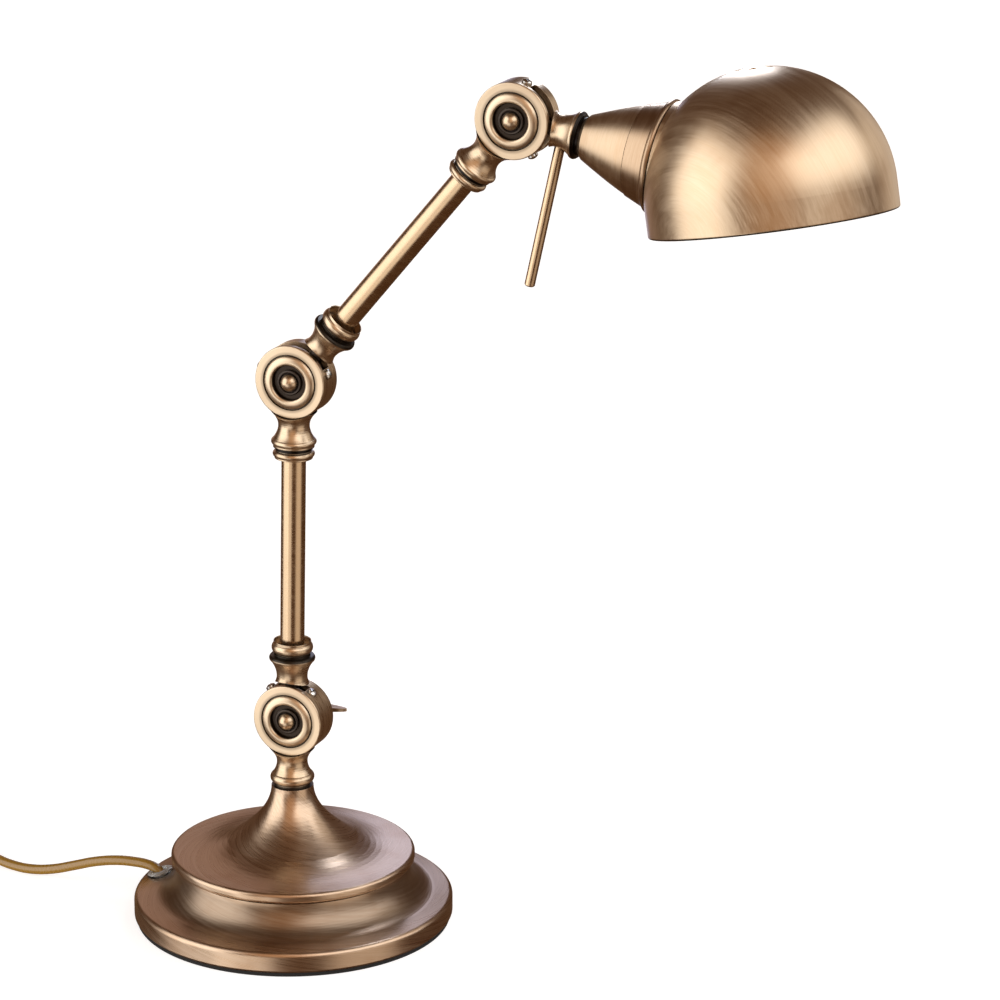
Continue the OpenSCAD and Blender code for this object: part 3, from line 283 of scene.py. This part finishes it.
def brushed(name, look, centre, aim):
    # antique metal, brushed round the spindle, dark with patina and painted shade in its hollows
    look = dict(metal, **look)
    material, tree, shader = newMaterial(name)
    place = localPlace(tree, centre, aim)
    split = add(tree, "SeparateXYZ")
    feed(tree, split.inputs[0], place)
    x, y, z = split.outputs
    squares = calc(tree, "ADD", calc(tree, "MULTIPLY", x, x), calc(tree, "MULTIPLY", y, y))
    radius = calc(tree, "SQRT", squares)
    turn = calc(tree, "ARCTAN2", y, x)
    fine, broad = brushLines(tree, look, radius, turn, z)

    # polishing wears the colour lighter in streaks and leaves clouds of brown
    streak = calc(tree, "ADD", calc(tree, "MULTIPLY", fine, finish["fineShare"]),
                  calc(tree, "MULTIPLY", broad, finish["broadShare"]))
    wear = look["wear"] / 2
    worn = ramp(tree, streak, *finish["streakSpan"], 0.5 - wear, 0.5 + wear, smooth=False)
    colour = blendColours(tree, worn, look["deep"], look["bright"])
    cloud = noise(tree, place, look["cloud"], *finish["cloudNoise"])
    tarnish = calc(tree, "MULTIPLY", ramp(tree, cloud, *finish["cloudSpan"]), look["tarnish"])
    colour = blendColours(tree, tarnish, colour, look["brown"])

    # dark patina and painted shade in crevices, dark joints and painted shade in the rings and lengths that
    # the look names, and painted shade along its rim
    crevice = add(tree, "AmbientOcclusion", samples=finish["creviceSamples"])
    crevice.inputs["Distance"].default_value = look["reach"] * mm
    patinaShadeMask = ramp(tree, crevice.outputs["AO"], *finish["creviceSpan"], 1.0, 0.0)
    patinaShadeMask = calc(tree, "MULTIPLY", patinaShadeMask, look["patinaShadeStrength"])
    for value, stretches in ((radius, look["darkRings"]), (z, look["darkLengths"])):
        for start, end, soft, strength in stretches:
            mask = band(tree, value, start * mm, end * mm, soft * mm)
            patinaShadeMask = calc(tree, "MAXIMUM", patinaShadeMask, calc(tree, "MULTIPLY", mask, strength))
    # painted shade: a thin dark band along the lowest edge, measured along the crown's axis
    if "rim" in look:
        along, start, end = look["rim"]
        height = vector(tree, "DOT_PRODUCT", add(tree, "TexCoord").outputs["Object"], tuple(along))
        patinaShadeMask = calc(tree, "MAXIMUM", patinaShadeMask, band(tree, height, start, end, finish["rimSoft"]))
    colour = blendColours(tree, patinaShadeMask, colour, look["dark"])
    feed(tree, shader.inputs["Base Color"], colour)
    shader.inputs["Metallic"].default_value = 1.0
    smoother, rougher = (look["rough"] + spread for spread in finish["roughSpread"])
    rough = ramp(tree, streak, *finish["streakSpan"], smoother, rougher)
    rough = calc(tree, "ADD", rough, calc(tree, "MULTIPLY", patinaShadeMask, finish["patinaShadeRough"]))
    feed(tree, shader.inputs["Roughness"], rough)
    shader.inputs["Anisotropic"].default_value = look["pull"]
    shader.inputs["Coat Weight"].default_value = look["lacquer"]
    shader.inputs["Coat Roughness"].default_value = look["lacquerRough"]

    # highlights pull out across the brush lines
    fromCentre = vector(tree, "SUBTRACT", add(tree, "TexCoord").outputs["Object"], tuple(centre))
    strokes = vector(tree, "CROSS_PRODUCT", tuple(aim), fromCentre)
    across = vector(tree, "CROSS_PRODUCT", add(tree, "NewGeometry").outputs["Normal"], strokes)
    feed(tree, shader.inputs["Tangent"], vector(tree, "NORMALIZE", across))

    bump = add(tree, "Bump")
    bump.inputs["Strength"].default_value = look["scratch"]
    bump.inputs["Distance"].default_value = finish["bumpHeight"]
    feed(tree, bump.inputs["Height"], fine)
    edge = add(tree, "Bevel", samples=finish["edgeSamples"])
    edge.inputs["Radius"].default_value = look["edge"] * mm
    feed(tree, bump.inputs["Normal"], edge.outputs["Normal"])
    feed(tree, shader.inputs["Normal"], bump.outputs["Normal"])
    return material


# what every metal look starts from; reach and edge are in mm, and so are the dark stretches, each
# as (start, end, soft, strength); grain is per metre, but with a swirl stroke is, and swirl is too
metal = {"deep": (0.49, 0.365, 0.24), "bright": (0.74, 0.60, 0.44), "brown": (0.36, 0.20, 0.10),
         "dark": (0.010, 0.006, 0.004), "rough": 0.31, "pull": 0.4, "wear": 0.6, "grain": 1800,
         "stroke": 2.2, "cloud": 45, "tarnish": 0.25, "reach": 2.4, "patinaShadeStrength": 0.97, "lacquer": 0.3,
         "lacquerRough": 0.25, "scratch": 0.15, "edge": 0.25, "darkRings": [], "darkLengths": []}
# the base's long crevice reach paints shade under the lip and on the ledge, and its dark length paints
# shade over the cove
baseLook = {"swirl": 66.7, "grain": 44, "stroke": 110, "rough": 0.30, "pull": 0.35, "wear": 0.65,
            "tarnish": 0.35, "deep": (0.42, 0.29, 0.19), "bright": (0.68, 0.53, 0.40), "scratch": 0.2,
            "reach": 9.0, "darkLengths": [(14.5, 28, 2.0, 0.45)]}
shadeLook = {"grain": 1050, "rough": 0.35, "pull": 0.15, "wear": 0.4, "tarnish": 0.45, "cloud": 28,
             "lacquer": 0.2, "reach": 1.5, "scratch": 0.15, "deep": (0.47, 0.33, 0.20),
             "bright": (0.76, 0.62, 0.46)}
cupLook = dict(shadeLook, deep=(0.42, 0.29, 0.18), bright=(0.68, 0.54, 0.39))
tubeLook = {"rough": 0.25, "pull": 0.2, "wear": 0.35, "tarnish": 0.1, "deep": (0.48, 0.33, 0.20),
            "bright": (0.72, 0.56, 0.38)}
# the rosette's dark rings are painted shade: in the recess round the cup washer and beside the torus groove
rosetteLook = {"rough": 0.33, "pull": 0.3, "wear": 0.4, "tarnish": 0.1, "deep": (0.57, 0.44, 0.31),
               "bright": (0.78, 0.65, 0.48), "dark": (0.03, 0.018, 0.01),
               "darkRings": [(6.3, 8.9, 0.25, 1.0), (13.7, 14.7, 1.0, 0.55)]}
neckLook = {"rough": 0.30, "darkLengths": [(31.6, 34.9, 0.25, 1.0)]}
baseNeckLook = dict(neckLook, darkLengths=[(68.5, 71.0, 0.3, 0.9)])
# an arm's gaps in mm, from its foot and back from its top
armGaps = {"foot": (32.1, 35.0), "footDark": (0.4, 0.97), "top": (35.0, 32.8), "topDark": (0.3, 1.0)}
gunmetal = {"deep": (0.05, 0.042, 0.037), "bright": (0.09, 0.075, 0.066), "brown": (0.03, 0.02, 0.015),
            "rough": 0.40, "lacquer": 0.0}
steel = {"deep": (0.50, 0.50, 0.50), "bright": (0.80, 0.80, 0.79), "brown": (0.30, 0.28, 0.26),
         "dark": (0.06, 0.055, 0.05), "rough": 0.2, "tarnish": 0.1, "patinaShadeStrength": 0.8, "lacquer": 0.0}
plainBrass = {"rough": 0.25, "patinaShadeStrength": 0.4}
galleryLook = {"rough": 0.33, "deep": (0.36, 0.24, 0.15), "bright": (0.56, 0.42, 0.29), "reach": 3.0}

up = Vector((0, 0, 1))
towardsRosette = Vector((0, -1, 0))
origin = Vector((0, 0, 0))
# the dome is brushed by hand, round a pole low on its near left side
brushPole = Vector((-0.433, -0.859, -0.277)).normalized()
rodReach = 24 * mm       # from the head knuckle to the handle rod
upperLift = 1.6          # the upper arm's foot neck stands this many mm further out
rimBand = (mm, 0.7 * mm)  # dark below and above the shade's lowest edge, along the crown's axis


def dress(node, material):
    mesh = nodes[node].data
    mesh.materials.clear()
    mesh.materials.append(material)


def dressAll(look, centre, aim, names):
    material = brushed(names[0] + "_finish", look, centre, aim)
    for name in names:
        dress(name, material)


def armLook(start, end, lift):
    # the gaps between bead and collar stay dark at both ends of an arm
    length = (end - start).length / mm
    foot = (reach + lift for reach in armGaps["foot"])
    top = (length - reach for reach in armGaps["top"])
    gaps = [(*foot, *armGaps["footDark"]), (*top, *armGaps["topDark"])]
    return dict(neckLook, darkLengths=gaps)


dressAll(baseLook, origin, up, ["base_upper_shell", "base_lower_shell"])
dressAll(baseNeckLook, origin, up, ["base_neck"])
dressAll(steel, origin, up, ["base_plate", "base_stud", "base_fasteners"])
for key, knuckle in (("k1", lowerKnuckle), ("k2", middleKnuckle), ("k3", headKnuckle)):
    dressAll(rosetteLook, knuckle, towardsRosette, [key + "_rosette"])
    # the lower knuckle has the wing key in place of a back nut
    rings = [name for name in (key + "_drum", key + "_bolt", key + "_back_nut") if name in nodes]
    dressAll({"rough": 0.3}, knuckle, towardsRosette, rings)
    dressAll(gunmetal, knuckle, towardsRosette, [key + "_cup_washer", key + "_hub"])
    dressAll(steel, knuckle, towardsRosette, [key + "_stop_screws"])
dressAll({}, lowerKnuckle, towardsRosette, ["wing_key"])
dressAll(armLook(lowerKnuckle, middleKnuckle, 0), lowerKnuckle, lowerAim,
         ["lower_foot_neck", "lower_collars", "lower_top_neck"])
dressAll(tubeLook, lowerKnuckle, lowerAim, ["lower_tube"])
dressAll(armLook(middleKnuckle, headKnuckle, upperLift), middleKnuckle, upperAim,
         ["upper_foot_neck", "upper_collars", "upper_top_neck"])
dressAll(tubeLook, middleKnuckle, upperAim, ["upper_tube"])
dressAll(neckLook, headKnuckle, headAim, ["head_neck"])
dressAll(galleryLook, headKnuckle, headAim, ["gallery_ring"])
dressAll(cupLook, headKnuckle, headAim, ["socket_cup"])
dressAll(tubeLook, headKnuckle + rodReach * headAim, headAim.cross(Vector((0, 1, 0))), ["handle_rod"])
# the shade's rim gets a thin band of painted shade
rimHeight = min(crownAim.dot(corner.co) for corner in nodes["shade"].data.vertices)
rim = (crownAim, rimHeight - rimBand[0], rimHeight + rimBand[1])
dressAll(dict(shadeLook, rim=rim), domeCentre, brushPole, ["shade"])
dressAll(plainBrass, headKnuckle, headAim, ["lampholder_contacts"])
dressAll(steel, headKnuckle, headAim, ["bulb_cap", "shade_clamp_ring"])


# moulded pieces share a fine mottle
moulding = {"detail": 2.0, "darker": 0.6, "span": (0.3, 0.7), "roughSpread": 0.05, "bump": 0.15,
            "bumpHeight": 0.03 * mm}


def plastic(name, colour, rough, speck=0.15, through=0.0, grain=900):
    material, tree, shader = newMaterial(name)
    place = add(tree, "TexCoord").outputs["Object"]
    mottle = noise(tree, place, grain, moulding["detail"])
    darker = tuple(c * moulding["darker"] for c in colour)
    mottled = blendColours(tree, calc(tree, "MULTIPLY", mottle, speck), colour, darker)
    feed(tree, shader.inputs["Base Color"], mottled)
    spread = moulding["roughSpread"]
    feed(tree, shader.inputs["Roughness"],
         ramp(tree, mottle, *moulding["span"], rough - spread, rough + spread))
    shader.inputs["Transmission Weight"].default_value = through
    bump = add(tree, "Bump")
    bump.inputs["Strength"].default_value = moulding["bump"]
    bump.inputs["Distance"].default_value = moulding["bumpHeight"]
    feed(tree, bump.inputs["Height"], mottle)
    feed(tree, shader.inputs["Normal"], bump.outputs["Normal"])
    return material


sheath = {"colour": (0.27, 0.15, 0.022), "rough": 0.28, "coat": 0.6, "coatRough": 0.15}


def cordMaterial():
    # gold sheath under a clear coat
    material = plastic("cord_sheath", sheath["colour"], sheath["rough"])
    shader = material.node_tree.nodes["Principled BSDF"]
    shader.inputs["Coat Weight"].default_value = sheath["coat"]
    shader.inputs["Coat Roughness"].default_value = sheath["coatRough"]
    return material


cordLook = cordMaterial()
cord.data.materials.append(cordLook)
for name in ("power_cord", "cord_coil", "base_cable", "lower_cable", "upper_cable"):
    dress(name, cordLook)
blackLook = plastic("black_moulding", (0.025, 0.025, 0.026), 0.35)
for name in ("switch_case", "switch_rocker", "plug_body"):
    dress(name, blackLook)
dressAll(steel, Vector(tailRoute[-1]) * mm, Vector((-1, 0, 0)), ["plug_pins"])
dress("cord_grommet", plastic("clear_grommet", (0.80, 0.82, 0.82), 0.18, 0.2, 0.7))
dress("lampholder", plastic("glazed_porcelain", (0.80, 0.79, 0.75), 0.12, 0.1))
dress("bulb_glass", plastic("opal_glass", (0.90, 0.89, 0.86), 0.16, 0.05, 0.25))
dress("base_weight", plastic("cast_iron", (0.06, 0.06, 0.065), 0.7, 0.6))
dress("base_pad", plastic("felt", (0.012, 0.012, 0.013), 0.95, 0.6, 0.0, 2500))
fibreLook = plastic("pressed_fibre", (0.12, 0.07, 0.04), 0.8, 0.5)
for key in ("k1", "k2", "k3"):
    dress(key + "_friction_washer", fibreLook)
print("finishes set")

# turn is measured from the camera's side, to the right; wide and tall are tangents of half the angle
softboxes = [
    {"turn": -73, "lift": 12, "wide": 0.56, "tall": 0.68, "soft": 0.20,
     "level": 2.1, "tint": (1.0, 0.99, 0.96)},
    {"turn": 64, "lift": 36, "wide": 0.90, "tall": 0.42, "soft": 0.20,
     "level": 1.95, "tint": (1.0, 0.99, 0.97)},
    {"turn": -34, "lift": -26, "wide": 0.34, "tall": 0.24, "soft": 0.10,
     "level": 1.35, "tint": (1.0, 0.95, 0.88)},
    {"turn": 54, "lift": -14, "wide": 0.46, "tall": 0.30, "soft": 0.20,
     "level": 0.9, "tint": (1.0, 0.88, 0.74)},
    {"turn": -5, "lift": 30, "wide": 0.45, "tall": 0.62, "soft": 0.30,
     "level": 0.65, "tint": (1.0, 0.62, 0.36)}]
# cards stand near the lamp: centre, what they face, sizes in metres
cards = [
    {"name": "crown_card", "centre": (0.075, 0.360, 0.585), "facing": (0.24, 0, 0.45),
     "size": (0.09, 0.19), "level": 7.0, "tint": (0.88, 0.96, 1.12)},
    {"name": "disc_card", "centre": (-0.106, 0.442, 0.30), "facing": (0.03, 0, 0.07),
     "size": (0.12, 0.34), "level": 1.35, "tint": (0.92, 0.95, 1.25)},
    {"name": "brown_card", "centre": (-0.298, 0.360, 0.30), "facing": (-0.04, 0, 0.07),
     "size": (0.24, 0.34), "level": 0.45, "tint": (1.0, 0.68, 0.55)},
    {"name": "side_card", "centre": (0.406, 0.308, 0.43), "facing": (0.24, 0, 0.40),
     "size": (0.30, 0.30), "level": 0.8, "tint": (1.0, 0.86, 0.72)}]
studio = {"room": (0.10, 0.048, 0.022), "paper": 0.5, "glow": 0.78, "floorSize": 12, "floorDrop": 0.0002,
          "leastAhead": 0.02}


def studioDirection(turn, lift):
    return polar(cameraSetup["azimuth"] - 90 + turn, lift)


def softboxGlow(tree, ray, box):
    facing = studioDirection(box["turn"], box["lift"])
    side = studioDirection(box["turn"] + 90, 0)
    rise = studioDirection(box["turn"], box["lift"] + 90)
    ahead = vector(tree, "DOT_PRODUCT", ray, tuple(facing))
    depth = calc(tree, "MAXIMUM", ahead, studio["leastAhead"])
    glow = box["level"]
    for aim, half in ((side, box["wide"]), (rise, box["tall"])):
        sideways = vector(tree, "DOT_PRODUCT", ray, tuple(aim))
        share = calc(tree, "ABSOLUTE", calc(tree, "DIVIDE", sideways, depth))
        edge = ramp(tree, share, half - box["soft"], half + box["soft"], 1.0, 0.0)
        glow = calc(tree, "MULTIPLY", edge, glow)
    return calc(tree, "MULTIPLY", glow, calc(tree, "GREATER_THAN", ahead, studio["leastAhead"]))


def makeWorld():
    world = bpy.data.worlds.new("studio")
    scene.world = world
    tree = emptyTree(world)
    ray = add(tree, "TexCoord").outputs["Generated"]
    light = studio["room"]
    for box in softboxes:
        light = vector(tree, "ADD", vector(tree, "SCALE", box["tint"], softboxGlow(tree, ray, box)), light)
    path = add(tree, "LightPath")
    seen = calc(tree, "MAXIMUM", path.outputs["Is Camera Ray"], path.outputs["Is Transmission Ray"])
    background = add(tree, "Background")
    feed(tree, background.inputs["Color"], blendColours(tree, seen, light, (1, 1, 1)))
    show(tree, "World", background.outputs[0])


def makeFloor():
    # white paper that the metal doesn't mirror
    bpy.ops.object.select_all(action="DESELECT")
    bpy.ops.mesh.primitive_plane_add(size=studio["floorSize"], location=(0, 0, -studio["floorDrop"]))
    floor = bpy.context.object
    floor.name = "floor"
    floor.visible_shadow = False
    material = bpy.data.materials.new("floor_white")
    material.cycles.emission_sampling = "NONE"
    tree = emptyTree(material)
    paper = add(tree, "BsdfDiffuse")
    paper.inputs["Color"].default_value = (studio["paper"], studio["paper"], studio["paper"], 1)
    glowing = add(tree, "Emission")
    glowing.inputs["Strength"].default_value = studio["glow"]
    lit = add(tree, "AddShader")
    tree.links.new(paper.outputs[0], lit.inputs[0])
    tree.links.new(glowing.outputs[0], lit.inputs[1])
    path = add(tree, "LightPath")
    mirrored = calc(tree, "MAXIMUM", path.outputs["Is Glossy Ray"], path.outputs["Is Transmission Ray"])
    final = add(tree, "MixShader")
    feed(tree, final.inputs[0], mirrored)
    tree.links.new(lit.outputs[0], final.inputs[1])
    tree.links.new(add(tree, "BsdfTransparent").outputs[0], final.inputs[2])
    show(tree, "Material", final.outputs[0])
    floor.data.materials.append(material)


def makeCard(card):
    bpy.ops.object.select_all(action="DESELECT")
    bpy.ops.mesh.primitive_plane_add(size=1, location=card["centre"])
    plane = bpy.context.object
    plane.name = card["name"]
    aim = Vector(card["facing"]) - Vector(card["centre"])
    plane.rotation_euler = aim.to_track_quat("Z", "Y").to_euler()
    plane.scale = (*card["size"], 1)
    plane.visible_camera = False
    plane.visible_shadow = False
    material = bpy.data.materials.new(card["name"])
    tree = emptyTree(material)
    glowing = add(tree, "Emission")
    glowing.inputs["Color"].default_value = (*card["tint"], 1)
    glowing.inputs["Strength"].default_value = card["level"]
    show(tree, "Material", glowing.outputs[0])
    plane.data.materials.append(material)


makeWorld()
makeFloor()
for card in cards:
    makeCard(card)
scene.view_settings.view_transform = "Standard"
print("studio lit")

bpy.context.view_layer.update()
